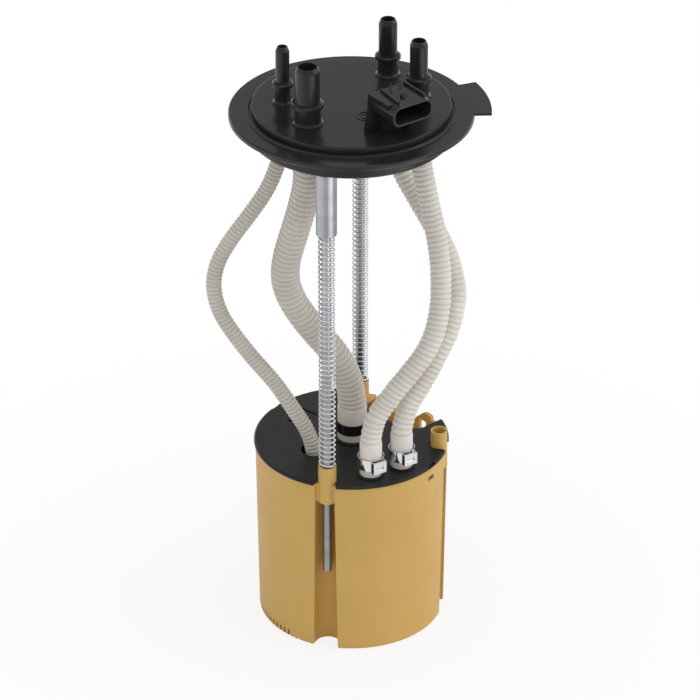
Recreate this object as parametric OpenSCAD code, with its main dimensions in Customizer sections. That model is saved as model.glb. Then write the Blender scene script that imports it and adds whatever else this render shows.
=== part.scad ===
// Fuel tank sending unit: a sprung flange on two guide rods over a fuel reservoir.
// Millimetres, +Z up. The origin is the centre of the reservoir's foot, and the
// flange is shown at the top of its travel. The connector opens towards -Y.

/* [Flange] */
// Outside diameter of the rim that lies on the tank
rim_d = 152; // [150:0.5:156]
// Thickness of the rim
rim_t = 3.4; // [2.8:0.1:4]
// Height of the rim's top above the reservoir's foot
rim_z = 359; // [356:1:364]
// Diameter of the raised deck inside the rim
deck_d = 124; // [123:0.5:125]
// Rise of the deck above the rim
deck_rise = 5; // [4:0.5:6]
// Thickness of the deck
deck_t = 3.2; // [2.6:0.1:3.8]
// Diameter of the low step around the deck
step_d = 130; // [128:0.5:134]
// Rise of that step above the rim
step_rise = 1.3; // [0.8:0.1:2]
// Outside diameter of the skirt that plugs the tank opening
skirt_d = 126.8; // [126:0.2:130]
// Depth of the skirt below the rim's top
skirt_h = 15.2; // [14.5:0.1:17]
// Wall of the skirt
skirt_t = 3; // [2.4:0.1:3]
// How far the locating tab reaches past the rim
tab_reach = 10.5; // [8:0.5:13]
// Thickness of the locating tab
tab_t = 1.8; // [1.4:0.1:2.4]

/* [Spigots] */
// Height of the spigots above the deck
spigot_h = 38; // [34:1:42]
// Height of their collars above the deck
collar_z = 11.5; // [9:0.5:14]
// Height of a collar
collar_t = 2.6; // [2:0.1:3.4]
// Diameter of the thin hose's spigot
jet_spigot_d = 8.6; // [8:0.1:9.4]
// Diameter of the feed spigot
feed_d = 15.2; // [14.4:0.1:16]
// Diameter of the crossover spigot
cross_d = 11.6; // [10.8:0.1:12.2]
// Diameter of the return spigot
return_d = 11.2; // [10.6:0.1:12]
// How far a collar stands out from its spigot
collar_out = 2.3; // [1.6:0.1:3]
// Wall of the spigots and of the barbs
spigot_wall = 1.5; // [1.2:0.1:2]

/* [Connector] */
// Width of the socket's mouth, inside
socket_w = 26.7; // [25:0.1:28]
// Height of the socket's mouth, inside
socket_h = 10.4; // [9.8:0.2:12]
// Corner radius of the socket, inside
socket_r = 4.2; // [3:0.2:4.8]
// Wall of the socket
socket_wall = 1.3; // [1:0.1:1.6]
// Depth of the socket
socket_depth = 19; // [16:0.5:21]
// Length of the whole connector body
plug_len = 26.7; // [25:0.1:30]
// Height of the socket's centre above the deck
plug_z = 17; // [15.5:0.1:17.5]
// Width of the terminals
pin_w = 1.5; // [1:0.1:2]

/* [Guides and springs] */
// Diameter of the guide rods
rod_d = 6; // [5.4:0.1:6.2]
// How far the rods' axes stand in from the reservoir's top edge
rod_inset = 6.6; // [6.4:0.1:7]
// Height of the rods' lower ends above the foot
rod_foot = 56.4; // [53:0.1:58]
// Outside diameter of the spacer tubes under the flange
spacer_d = 13; // [12.4:0.1:13.6]
// Height of the spacer tubes' lower ends below the rim's top
spacer_drop = 58.5; // [55:0.5:64]
// Outside diameter of the springs
spring_d = 10.8; // [10.4:0.1:11]
// Diameter of the spring wire
wire_d = 1.2; // [1:0.1:1.3]
// Number of turns
turns = 47; // [44:1:50]
// Clearance of the rods in their guides, all round
run_gap = 0.05; // [0.03:0.01:0.08]

/* [Reservoir] */
// Outside diameter of the reservoir at its top
body_d = 123.6; // [123:0.2:125]
// Outside diameter of the reservoir at its foot
foot_d = 120.4; // [119.6:0.2:121.4]
// Height of the reservoir without its cover
body_h = 122.7; // [121:0.1:126]
// Wall of the reservoir
wall = 2.4; // [2:0.1:2.6]
// Height of the floor above the foot
floor_z = 5; // [4.5:0.1:6]
// Width of the channels for the guide rods, at the foot
channel_w = 16; // [14:0.1:16.4]
// How much narrower the channels are at the top
channel_draft = 3.2; // [1.6:0.1:3.6]
// Outside diameter of the guide sleeves at their tops
sleeve_d = 11.4; // [11.2:0.1:12]
// How much wider the sleeves are at their feet
sleeve_draft = 0.8; // [0.4:0.1:1]
// Diameter of the mouth at a sleeve's top
sleeve_mouth = 9; // [7.6:0.1:9.2]
// Height of the guide sleeves above the reservoir's top edge
sleeve_up = 12.3; // [10:0.1:14]
// Depth of the guide sleeves below the reservoir's top edge
sleeve_down = 12.8; // [11:0.1:15]
// Outside diameter of the spare guide sleeve at its top
spare_d = 10.6; // [10.4:0.1:11.4]
// How far the spare sleeve's axis stands in from the reservoir's top edge
spare_inset = 4.9; // [4.7:0.1:5.6]
// Bore of the spare guide sleeve
spare_bore = 8.6; // [7:0.1:8.8]
// Height of the flow slots in the foot
slot_h = 5.2; // [3.6:0.2:6]
// Distance of the sender bay's back wall from the axis
bay_depth = 29; // [28.6:0.1:29.4]
// Height of the lower edge of the band over the sender bay
band_low = 100; // [99:0.5:103]
// Height of the upper edge of that band
band_high = 121; // [119:0.5:122]
// Number of flow slots in the foot
slots = 12; // [8:1:12]

/* [Cover] */
// How far the cover's edge stands out over the reservoir's wall
cover_out = 0.9; // [0.6:0.1:1.4]
// Thickness of the cover
cover_t = 2; // [1.6:0.1:2.4]
// Diameter of the hole that the thin hose enters
jet_hole_d = 17; // [16:0.2:18]
// Height of the hose barbs above the cover
barb_h = 22; // [18:0.5:24]

/* [Hoses] */
// Outside diameter of the thin hose
jet_hose_d = 9.8; // [9.4:0.1:10.2]
// Outside diameter of the feed hose
feed_hose_d = 18; // [17.6:0.1:18.4]
// Outside diameter of the return and crossover hoses
small_hose_d = 13.4; // [13:0.1:13.8]
// How far the hoses' cuffs stand out from their corrugations
cuff_out = 0.4; // [0.2:0.1:0.8]
// Height of the cuffs over the reservoir's cover
cuff_h = 25; // [22:0.5:26]
// Thickness of the clamp bands
clamp_t = 0.8; // [0.6:0.1:1]
// Clearance of the ear clamps' bands round their cuffs
clamp_gap = 0.8; // [0.3:0.1:0.9]

/* [Level sender] */
// Height of the float arm's pivot above the foot
pivot_z = 75; // [73:0.5:77]
// Length of the float arm from pivot to float
arm_len = 102; // [98:0.5:106]
// Diameter of the float arm's wire
arm_d = 2.5; // [2.2:0.1:2.8]
// Angle of the arm below level at its lower stop
arm_low = 31; // [28:0.5:33]
// Length of the float
float_l = 38; // [34:0.5:42]
// Width of the float, along the pivot
float_w = 20; // [18:0.5:22]
// Height of the float
float_h = 22; // [19:0.5:24]

/* [Hidden] */
$fn = 96;
eps = 0.01;
seat = 0.3; // clearance between pieces that touch without a fit

// Directions of the three guide channels, of the sender bay and of the latches
front_az = -142;
spare_az = -46;
back_az = 48;
bay_az = 22;
latch_az = [-70.5, 107];
tab_az = [-40, -8.5];

// Places of the four spigots, and of the barbs that their hoses run to
jet_spigot_xy = [-34, 25];
feed_xy = [-38, -7];
cross_xy = [41.5, 18.5];
return_xy = [38.5, -17.5];
jet_xy = [-29, 0.5];
feed_barb_xy = [-0.5, -1.5];
cross_barb_xy = [4.5, -48];
return_barb_xy = [-17.5, -45];

deck_z = rim_z + deck_rise;
deck_under = deck_z - deck_t;
skirt_z = rim_z - skirt_h;
boss_z = skirt_z - 0.4;
boss_r = spacer_d / 2 + 0.7;
cover_d = body_d + 2 * cover_out;
rod_ring = body_d / 2 - rod_inset;
spare_ring = body_d / 2 - spare_inset;
nipple_z = rim_z - 9;
cover_z = body_h;
cover_top = cover_z + cover_t;
barb_foot = 0.8;
mouth_depth = 3;
sleeve_lip = 0.6;
spring_low = body_h + sleeve_up;
spring_high = rim_z - spacer_drop;
small_barb_r = small_hose_d / 2 - 2.2;
feed_barb_r = feed_hose_d / 2 - 2.6;
jet_hose_z = 113;

// Routes of the hoses, from the flange to the reservoir
jet_route = [[-34, 25, 335], [-38, 26.5, 320], [-44, 29.5, 304], [-53, 34.5, 288],
    [-63, 40, 272], [-71, 44, 256], [-74.5, 44.5, 240], [-73, 41, 223], [-67, 34, 207],
    [-58, 26, 190], [-48, 17, 173], [-39.5, 9.5, 155], [-33, 4, 140], [-30, 1.5, 128]];
feed_route = [[-38, -7, 335], [-37.5, -5, 320], [-39, -1.5, 303], [-41.5, 3, 285],
    [-43.5, 8.5, 265], [-42.5, 11.5, 248], [-38, 11, 233], [-31, 8.5, 219], [-23, 5.5, 206],
    [-15, 2, 194], [-8, -0.5, 181], [-3, -1.5, 167], [-1, -1.5, 156]];
cross_route = [[41.5, 18, 335], [42.5, 14, 320], [44, 7, 302], [48, -4, 285], [52, -16, 269],
    [54.5, -27, 254], [54.5, -33.5, 243], [52.5, -40, 232], [48, -44, 221], [41, -47, 209],
    [33, -48, 198], [25.5, -48, 187], [17.5, -47.5, 176], [11, -47, 167],
    [6, -47.7, 156]];
return_route = [[38.5, -18, 335], [39, -21.5, 315], [39.5, -29, 292], [39.5, -36, 274],
    [38, -42, 258], [35.5, -46.5, 244], [31.5, -50.5, 230], [25.5, -53, 216], [18, -53, 204],
    [9, -51, 193], [0, -48, 182], [-8, -45.5, 171], [-13.5, -45, 164],
    [-16.7, -45, 155]];

// Colours
black = [0.2, 0.2, 0.21];
amber = [0.84, 0.67, 0.36];
cream = [0.84, 0.82, 0.77];
steel = [0.72, 0.73, 0.75];
brass = [0.8, 0.66, 0.36];
ceramic = [0.9, 0.9, 0.86];

// Points of an arc about a centre, in a plane
function arc(centre, r, from, to, steps) =
    [for (i = [0:steps]) let (a = from + (to - from) * i / steps)
        [centre.x + r * cos(a), centre.y + r * sin(a)]];

// Unit vector
function unit(v) = v / norm(v);

// Faces of a tube of n-sided rings, closed at both ends
function tube_faces(rings, n) = concat(
    [[for (k = [0:n - 1]) k]],
    [for (i = [0:rings - 2], k = [0:n - 1], half = [0, 1])
        let (a = i * n + k, b = i * n + (k + 1) % n)
            half == 0 ? [a, a + n, b + n] : [a, b + n, b]],
    [[for (k = [n - 1:-1:0]) (rings - 1) * n + k]]);

// Direction of travel at a point of a route, level at its two upright ends
function heading(route, i) =
    i == 0 || i == len(route) - 1 ? [0, 0, -1] : unit(route[i + 1] - route[i - 1]);

// One ring of points round a route, turned so that its points never twist
function ring(point, way, r, n) =
    let (side = unit(cross(way, [0, 1, 0])), up = cross(side, way))
    [for (k = [0:n - 1]) let (a = 360 * (k + 0.5) / n)
        point + r * cos(a) * side + r * sin(a) * up];

// A hose swept along its route
module hose(route, d, n = 10) {
    points = [for (i = [0:len(route) - 1], p = ring(route[i], heading(route, i), d / 2, n)) p];
    polyhedron(points, tube_faces(len(route), n), convexity = 8);
}

// A hose from a spigot to a barb, with a wider cuff on the barb
module cuffed_hose(from, route, to, d, n = 10) {
    cuff_top = [to.x, to.y, cover_top + cuff_h];
    line = concat([[from.x, from.y, nipple_z]], route, [cuff_top + [0, 0, 0.6]]);
    cuff = d / 2 + cuff_out;
    points = concat([for (i = [0:len(line) - 1], p = ring(line[i], heading(line, i), d / 2, n)) p],
        ring(cuff_top, [0, 0, -1], cuff, n),
        ring([to.x, to.y, cover_top + barb_foot], [0, 0, -1], cuff, n));
    polyhedron(points, tube_faces(len(line) + 2, n), convexity = 8);
}

// A helical spring, wound left-handed
module helix(r, wire, low, high, count, per_turn = 9, n = 4) {
    steps = count * per_turn;
    rise = high - low - wire;
    points = [for (i = [0:steps], k = [0:n - 1])
        let (a = -360 * i / per_turn, b = -360 * (k + 0.5) / n, lay = i / steps)
        [(r - wire / 2 + wire / 2 * cos(b)) * cos(a), (r - wire / 2 + wire / 2 * cos(b)) * sin(a),
            low + wire / 2 + rise * lay + wire / 2 * sin(b)]];
    polyhedron(points, tube_faces(steps + 1, n), convexity = 8);
}

// Children at a direction and distance from the part's axis
module polar(az, r = 0) {
    rotate([0, 0, az]) translate([r, 0, 0]) children();
}

// A tube standing on z
module pipe(r, bore, low, high) {
    translate([0, 0, low]) difference() {
        cylinder(r = r, h = high - low);
        translate([0, 0, -1]) cylinder(r = bore, h = high - low + 2);
    }
}

// A rectangle with round corners, centred
module rounded(w, h, r) {
    square([w - 2 * r, h], center = true);
    square([w, h - 2 * r], center = true);
    for (x = [-1, 1], y = [-1, 1])
        translate([x * (w / 2 - r), y * (h / 2 - r)]) circle(r, $fn = 48);
}

// Outline of the sender bay, grown by the wall of the piece that it cuts
module bay_outline(grow = 0) {
    corner = 8.5;
    far = body_d;
    polygon(concat([[bay_depth - grow, 6 + grow]],
        arc([bay_depth + corner, -26], corner + grow, 180, 270, 5),
        [[50, -38.5 - grow], [far, -59 - grow], [far, 25.5 + grow]]));
}

// Outline of a channel about the rod's centre, open outwards
module channel_outline(r) {
    circle(r);
    translate([0, -r]) square([body_d / 2, 2 * r]);
}

// Places and sleeve diameters of the guides
function ring_of(az) = az == spare_az ? spare_ring : rod_ring;
function sleeve_of(az) = az == spare_az ? spare_d : sleeve_d;

// Half the width of a channel at a height
function channel_r(z) = (channel_w - channel_draft * z / body_h) / 2;

// The reservoir's outer form, drafted and rounded at the foot
module body_outside() {
    foot_round = 1.6;
    rotate_extrude() polygon(concat([[0, 0]],
        arc([foot_d / 2 - foot_round, foot_round], foot_round, -90, 0, 4),
        [[body_d / 2, body_h], [0, body_h]]));
}

// The reservoir's inside above its floor
module body_inside() {
    rotate_extrude() polygon([[0, floor_z + wall], [foot_d / 2 - wall, floor_z + wall],
        [body_d / 2 - wall, body_h + eps], [0, body_h + eps]]);
}

// The hollow under the floor
module body_underside() {
    translate([0, 0, -eps]) cylinder(r = foot_d / 2 - wall, h = floor_z + eps);
}

// Upright stiffening ribs under the floor, with a pad in the middle
module foot_ribs() {
    for (az = [41.5, 131.5, 221.5, 311.5]) rotate([0, 0, az])
        translate([0, -0.9, -1]) cube([foot_d / 2, 1.8, floor_z + 2]);
    translate([0, 0, -1]) cylinder(r = 6, h = floor_z + 2);
}

// One guide sleeve, standing in the top of its channel
module sleeve(az) {
    low = body_h - sleeve_down - sleeve_lip;
    polar(az, ring_of(az)) translate([0, 0, low])
        cylinder(r1 = (sleeve_of(az) + sleeve_draft) / 2, r2 = sleeve_of(az) / 2,
            h = sleeve_lip + sleeve_down + sleeve_up);
}

// Bore of a guide sleeve
module sleeve_bore(r) {
    translate([0, 0, body_h - sleeve_down - 2]) cylinder(r = r, h = sleeve_down + sleeve_up + 3);
}

// The cut of one channel, round at its lower corners, which leaves a web that carries the
// sleeve; only the spare sleeve stands flush with the wall
module channel_cut(az) {
    low = body_h - sleeve_down;
    foot_r = channel_r(-1);
    top_r = channel_r(low);
    side = foot_r - 0.02;
    corner = 1.6;
    front = sleeve_d / 2 - 1.6;
    polar(az, ring_of(az)) {
        translate([0, 0, -1]) cylinder(r1 = foot_r, r2 = top_r, h = low + 1);
        rotate([90, 0, 90]) linear_extrude(body_d / 2) polygon(concat([[-side - corner, -1]],
            arc([-side - corner, corner], corner, -90, 0, 4), [[-top_r + 0.02, low], [top_r - 0.02, low]],
            arc([side + corner, corner], corner, 180, 270, 4), [[side + corner, -1]]));
        if (az != spare_az)
            translate([front, -top_r, low - 1]) cube([body_d / 2, 2 * top_r, body_h]);
    }
}

// Walls that divide the inside: round the channels and behind the sender bay
module inner_walls() {
    translate([0, 0, -2]) linear_extrude(body_h + 4) {
        for (az = [front_az, spare_az, back_az]) rotate([0, 0, az]) translate([ring_of(az), 0])
            channel_outline(channel_w / 2 + wall);
        rotate([0, 0, bay_az]) bay_outline(wall);
    }
}

// The cut of the sender bay, which leaves the band of outer wall over it
module bay_cut() {
    rotate([0, 0, bay_az]) translate([0, 0, -1]) linear_extrude(band_low + 1) bay_outline();
    rotate([0, 0, bay_az]) translate([0, 0, band_high]) linear_extrude(body_h) bay_outline();
    intersection() {
        body_inside();
        rotate([0, 0, bay_az]) linear_extrude(body_h + 2) bay_outline();
    }
}

// Notch and window of that band, and its top edge with the slope and the hook
module band_cuts() {
    out = body_d / 2;
    rotate([0, 0, 19]) translate([out, 0, (band_low + band_high) / 2])
        cube([20, 12.8, 40], center = true);
    rotate([0, 0, 2.5]) translate([out, 0, band_high - 10.7]) cube([20, 7, 8], center = true);
    translate([out - 10, 0, band_high]) rotate([90, 0, 90]) linear_extrude(20)
        polygon(concat([[14, 8], [14, -17], [11.1, -8.8], [2.1, -0.8]],
            arc([-3.8, -1.6], 2.4, 75, 190, 5), [[-6.6, -2.7], [-12.9, -0.8], [-24, 0.2], [-24, 8]]));
}

// Opening of one cover latch through the wall
module latch_window(az) {
    rotate([0, 0, az]) translate([body_d / 2, 0, body_h - 8]) cube([8, 6, 3.2], center = true);
}

module reservoir() {
    color(amber) difference() {
        union() {
            difference() {
                body_outside();
                difference() {
                    body_inside();
                    inner_walls();
                }
                difference() {
                    body_underside();
                    inner_walls();
                    foot_ribs();
                }
                for (az = [front_az, spare_az, back_az]) channel_cut(az);
                bay_cut();
                band_cuts();
            }
            for (az = [front_az, spare_az, back_az]) sleeve(az);
        }
        for (az = [front_az, back_az]) polar(az, rod_ring) {
            sleeve_bore(rod_d / 2 + run_gap);
            translate([0, 0, spring_low - mouth_depth])
                cylinder(r = sleeve_mouth / 2, h = mouth_depth + 1);
        }
        polar(spare_az, spare_ring) sleeve_bore(spare_bore / 2);
        for (i = [0:slots - 1]) rotate([0, 0, 199 - 3.7 * i])
            translate([foot_d / 2 - wall - 1, -0.9, -1]) cube([6, 1.8, i < 2 ? 2.8 : slot_h + 1]);
        for (az = latch_az) latch_window(az);
        inlet_holes();
        translate([jet_xy.x, jet_xy.y, floor_z - 1]) cylinder(r = 3, h = wall + 2);
    }
}

// Holes of the inlet valve: a ring of ports about the stem's hole
valve_xy = [14.8 - body_d / 2, 2.9];
module inlet_holes() {
    translate([valve_xy.x, valve_xy.y, floor_z - 1]) {
        cylinder(r = 1.5, h = wall + 2, $fn = 32);
        for (a = [0:60:300]) rotate([0, 0, a]) translate([4.2, 0, 0])
            cylinder(r = 1.4, h = wall + 2, $fn = 32);
    }
}

module inlet_valve() {
    color(black) translate([valve_xy.x, valve_xy.y, 0]) {
        translate([0, 0, floor_z + wall]) rotate_extrude()
            polygon([[0, 0], [6.8, 0], [7, 0.5], [3.4, 1.3], [2.2, 2.2], [0, 2.2]]);
        translate([0, 0, floor_z - 2]) cylinder(r = 1.45, h = wall + 2 + eps, $fn = 32);
        translate([0, 0, floor_z - 2.6]) cylinder(r = 2.1, h = 2.6 - 0.1, $fn = 32);
    }
}

module reservoir_cover() {
    skirt_r = body_d / 2 - wall - seat;
    color(black) difference() {
        union() {
            translate([0, 0, cover_z]) rotate_extrude() polygon([[0, 0], [cover_d / 2, 0],
                [cover_d / 2, cover_t - 0.8], [cover_d / 2 - 0.9, cover_t], [0, cover_t]]);
            difference() {
                translate([0, 0, cover_z - 4]) pipe(skirt_r, skirt_r - 1.6, 0, 4 + eps);
                for (az = [front_az, spare_az, back_az]) polar(az, ring_of(az))
                    translate([0, 0, cover_z - 5]) linear_extrude(5)
                        channel_outline(channel_w / 2 + wall + seat);
                rotate([0, 0, bay_az]) translate([0, 0, cover_z - 5])
                    linear_extrude(5) bay_outline(wall + seat);
            }
            for (az = latch_az) rotate([0, 0, az]) cover_latch(skirt_r);
            for (xy = [cross_barb_xy, return_barb_xy]) translate([xy.x, xy.y, 0]) barb(small_barb_r, 8.6);
            translate([feed_barb_xy.x, feed_barb_xy.y, 0]) barb(feed_barb_r, 11.5);
        }
        for (az = [front_az, spare_az, back_az]) let (half = sleeve_of(az) / 2 + 0.9)
            polar(az, ring_of(az)) translate([0, 0, cover_z - 6]) linear_extrude(20) {
                circle(half);
                polygon([[-2, -half], [4, -half], [20, -half - 6], [20, half + 6], [4, half], [-2, half]]);
            }
        rotate([0, 0, bay_az]) translate([0, 0, cover_z - 6]) linear_extrude(20) bay_outline();
        translate([jet_xy.x, jet_xy.y, cover_z - 6]) cylinder(r = jet_hole_d / 2, h = 20);
        for (az = latch_az) rotate([0, 0, az]) translate([cover_d / 2 - 1.6, -3.5, cover_top - 1.3])
            cube([4, 7, 3]);
        cover_slits();
        for (xy = [cross_barb_xy, return_barb_xy]) translate([xy.x, xy.y, cover_z - 9])
            cylinder(r = small_barb_r - spigot_wall, h = 60);
        translate([feed_barb_xy.x, feed_barb_xy.y, cover_z - 9])
            cylinder(r = feed_barb_r - spigot_wall, h = 60);
    }
}

// Air slits of the cover
module cover_slits() {
    for (s = [[[-6.8, 51.5], [-2.5, 34.5]], [[-21.8, 40.6], [-18.8, 35.3]]]) {
        run = s[1] - s[0];
        translate([s[0].x, s[0].y, cover_z - 5]) rotate([0, 0, atan2(run.y, run.x)])
            translate([0, -0.8, 0]) cube([norm(run), 1.6, 10]);
    }
}

// A snap tab under the cover that hooks into the wall's window
module cover_latch(skirt_r) {
    translate([skirt_r - 1.6, -1.9, cover_z - 10.3]) cube([1.6, 3.8, 10.3 + eps]);
    translate([skirt_r - 0.4, 0, cover_z - 10]) rotate([90, 0, 0])
        linear_extrude(3.8, center = true) polygon([[0, 0], [2.2, 2.6], [2.2, 3.4], [0, 3.4]]);
}

// A hose barb on the cover, with its foot and its stub for the tube below
module barb(r, foot_r) {
    translate([0, 0, cover_z - 6]) cylinder(r = r, h = 6 + cover_t + barb_h - 3);
    translate([0, 0, cover_z]) cylinder(r = foot_r, h = cover_t + barb_foot);
    for (k = [0:2]) translate([0, 0, cover_top + barb_h - 12 + 4 * k]) rotate_extrude()
        polygon([[0, 0], [r + 0.5, 0], [r - 0.3, 4], [0, 4]]);
}

// The tube that falls from a barb, over its stub
module drop_tube(xy, r, low) {
    translate([xy.x, xy.y, 0]) pipe(r - seat / 3, r - spigot_wall, low, cover_z - 6);
}

module pickup_tube() {
    color(black) drop_tube(feed_barb_xy, feed_barb_r, 18);
}

module return_drop_tube() {
    color(black) drop_tube(return_barb_xy, small_barb_r, 46);
}

module crossover_drop_tube() {
    color(black) drop_tube(cross_barb_xy, small_barb_r, 16);
}

// Frame of the strainer, round the lower end of the pickup tube
module strainer_collar() {
    color(black) translate([feed_barb_xy.x, feed_barb_xy.y, 0]) difference() {
        union() {
            translate([0, 0, 14]) cylinder(r = feed_barb_r + 1.4, h = 10);
            translate([0, 0, 14]) cylinder(r = feed_barb_r + 3.4, h = 1.6);
        }
        translate([0, 0, 18]) cylinder(r = feed_barb_r, h = 10);
        translate([0, 0, 13]) cylinder(r = feed_barb_r - spigot_wall, h = 10);
    }
}

// Pouch of filter cloth that lies on the floor
module pickup_strainer() {
    color(cream) translate([6, -2, floor_z + wall + seat]) linear_extrude(14 - floor_z - wall - seat)
        rounded(34, 30, 9);
}

// Jet pump that draws fuel up through the floor
module jet_pump() {
    base = floor_z + wall;
    color(black) translate([jet_xy.x, jet_xy.y, 0]) difference() {
        union() {
            translate([0, 0, base]) cylinder(r = 6.4, h = 12);
            translate([0, 0, base + 12 - eps]) cylinder(r1 = 6.4, r2 = 5.6, h = 5);
            translate([0, 0, floor_z]) cylinder(r = 2.9, h = wall + eps);
            translate([0, 0, base + 6]) rotate([-90, 0, 0]) cylinder(r = 4, h = 30);
            translate([0, 28, base + 6]) rotate([-90, 0, 0]) cylinder(r = 5, h = 4);
            translate([-1, 5, base]) cube([2, 22, 4]);
        }
        translate([0, 0, floor_z - 1]) cylinder(r = 1.8, h = 14);
        translate([0, 0, base + 11]) cylinder(r = 4, h = 10);
        translate([0, 0, base + 6]) rotate([-90, 0, 0]) cylinder(r = 2.4, h = 40);
    }
}

// Upright tube that feeds the jet pump from the thin hose
module jet_tube() {
    color(black) translate([jet_xy.x, jet_xy.y, 0]) {
        pipe(3.9, 2.6, floor_z + wall + 11 + seat, jet_hose_z);
        pipe(5.2, 2.6, jet_hose_z - 16, jet_hose_z - 14);
    }
}

// Children in the sender bay: x runs out from its back wall, y along it
module in_bay(y = -8) {
    rotate([0, 0, bay_az]) translate([0, y, 0]) children();
}

housing_x = bay_depth;
housing_t = 9;
housing_w = 24;
housing_h = 44;

// The hub's stop finger swings between two posts of the housing
hub_low = 6.2;
swing = 104;
stop_r = 8.8;
post_r = 1.2;
finger_w = 3;
post_angle = swing / 2 + asin((finger_w / 2 + post_r + seat) / stop_r);
module sensor_housing() {
    color(black) in_bay() translate([housing_x, 0, pivot_z]) {
        difference() {
            translate([housing_t / 2, 0, 0]) cube([housing_t, housing_w, housing_h], center = true);
            translate([housing_t / 2 + 2.4, 0, 0])
                cube([housing_t, housing_w - 3.2, housing_h - 3.2], center = true);
            translate([2, -housing_w / 2 - 1, -housing_h / 2 + 8]) cube([8, 8, 10]);
        }
        rotate([0, 90, 0]) pipe(3.6, 1.8, 1, 5.5);
        for (side = [-1, 1]) rotate([90 + side * post_angle, 0, 0])
            translate([2, stop_r, 0]) rotate([0, 90, 0]) cylinder(r = post_r, h = housing_t - 1, $fn = 32);
        for (y = [-7, 7]) translate([4, y, housing_h / 2 + 1.2]) cube([5, 4, 2.4], center = true);
    }
}

module sensor_card() {
    color(ceramic) in_bay() translate([housing_x + 2.4, -10, pivot_z - 13]) cube([1, 20, 9]);
}

module sensor_terminals() {
    color(brass) in_bay() for (y = [-6, 6])
        translate([housing_x + 2.4, y - 1.5, pivot_z + 9]) cube([0.8, 3, 10]);
}

module wiper_hub() {
    color(cream) in_bay() translate([housing_x, 0, pivot_z]) rotate([90 - swing / 2, 0, 0])
        translate([hub_low, 4, -finger_w / 2]) cube([2.8, stop_r + post_r - 4, finger_w]);
    color(cream) in_bay() translate([housing_x, 0, pivot_z]) rotate([-arm_low, 0, 0]) rotate([0, 90, 0]) {
        translate([0, 0, hub_low]) cylinder(r = 7.4, h = 5);
        translate([0, 0, hub_low - 2.6]) cylinder(r = 1.8 - run_gap, h = 3);
        translate([0, 0, hub_low + 5 - eps]) difference() {
            cylinder(r = 3.6, h = 5);
            translate([0, 0, 0.5]) cylinder(r = arm_d / 2, h = 6);
        }
    }
}

module wiper_contact() {
    shoe_x = 3.4 + seat;
    color(brass) in_bay() translate([housing_x, 0, pivot_z]) rotate([-90 - swing / 2, 0, 0]) {
        translate([hub_low - 0.4, 3.5, -1.5]) cube([0.4, 3.4, 3]);
        translate([shoe_x, 6.5, -1.5]) cube([hub_low - shoe_x, 0.4, 3]);
        translate([shoe_x, 6.5, -1]) cube([0.4, 5, 2]);
    }
}

// Plane of the float arm, clear of the reservoir
arm_x = 66;
arm_bend = 4;
float_x = 64.6;
module float_arm() {
    start = housing_x + hub_low + 5.5;
    color(steel) in_bay() translate([0, 0, pivot_z]) rotate([-arm_low, 0, 0]) {
        translate([start, 0, 0]) rotate([0, 90, 0])
            cylinder(d = arm_d, h = arm_x - arm_bend - start, $fn = 32);
        translate([arm_x - arm_bend, arm_bend, 0]) rotate([0, 0, -90])
            rotate_extrude(angle = 90) translate([arm_bend, 0]) circle(d = arm_d, $fn = 24);
        translate([arm_x, arm_bend, 0]) rotate([-90, 0, 0])
            cylinder(d = arm_d, h = arm_len - 2 * arm_bend, $fn = 32);
        translate([arm_x + arm_bend, arm_len - arm_bend, 0]) rotate([0, 0, 90])
            rotate_extrude(angle = 90) translate([arm_bend, 0]) circle(d = arm_d, $fn = 24);
        translate([arm_x + arm_bend, arm_len, 0]) rotate([0, 90, 0])
            cylinder(d = arm_d, h = float_w - 2, $fn = 32);
    }
}

module float() {
    color(black) in_bay() translate([arm_x + arm_bend + 1, 0, pivot_z]) rotate([-arm_low, 0, 0])
        difference() {
            translate([0, arm_len, 0]) rotate([90, 0, 90]) linear_extrude(float_w)
                rounded(float_l, float_h, 4);
            translate([-1, arm_len, 0]) rotate([0, 90, 0])
                cylinder(d = arm_d, h = float_w - 2 - 1 + 1, $fn = 32);
        }
}

// The flange's turned form: deck, step, rim and skirt
module flange_form() {
    inside = skirt_d / 2 - skirt_t;
    rotate_extrude() polygon([[0, deck_under], [inside, deck_under], [inside, skirt_z],
        [skirt_d / 2 - 0.8, skirt_z], [skirt_d / 2, skirt_z + 0.8], [skirt_d / 2, rim_z - rim_t],
        [rim_d / 2 - 0.5, rim_z - rim_t], [rim_d / 2, rim_z - rim_t + 0.5],
        [rim_d / 2, rim_z - 0.7], [rim_d / 2 - 0.7, rim_z], [step_d / 2 + 0.5, rim_z],
        [step_d / 2, rim_z + step_rise], [deck_d / 2 + 1.5, rim_z + step_rise],
        [deck_d / 2 + 1.1, rim_z + 0.3], [deck_d / 2, rim_z + 0.3], [deck_d / 2, deck_z - 1.2],
        [deck_d / 2 - 0.4, deck_z - 0.4], [deck_d / 2 - 1.4, deck_z], [0, deck_z]]);
}

// Locating tab at the rim
module tab() {
    reach = rim_d / 2 + tab_reach;
    translate([0, 0, rim_z - tab_t]) linear_extrude(tab_t) polygon(concat(
        arc([0, 0], rim_d / 2 - 3, tab_az[0], tab_az[1], 16),
        arc([0, 0], reach, tab_az[1] - 1, tab_az[0] + 1, 16)));
}

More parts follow.
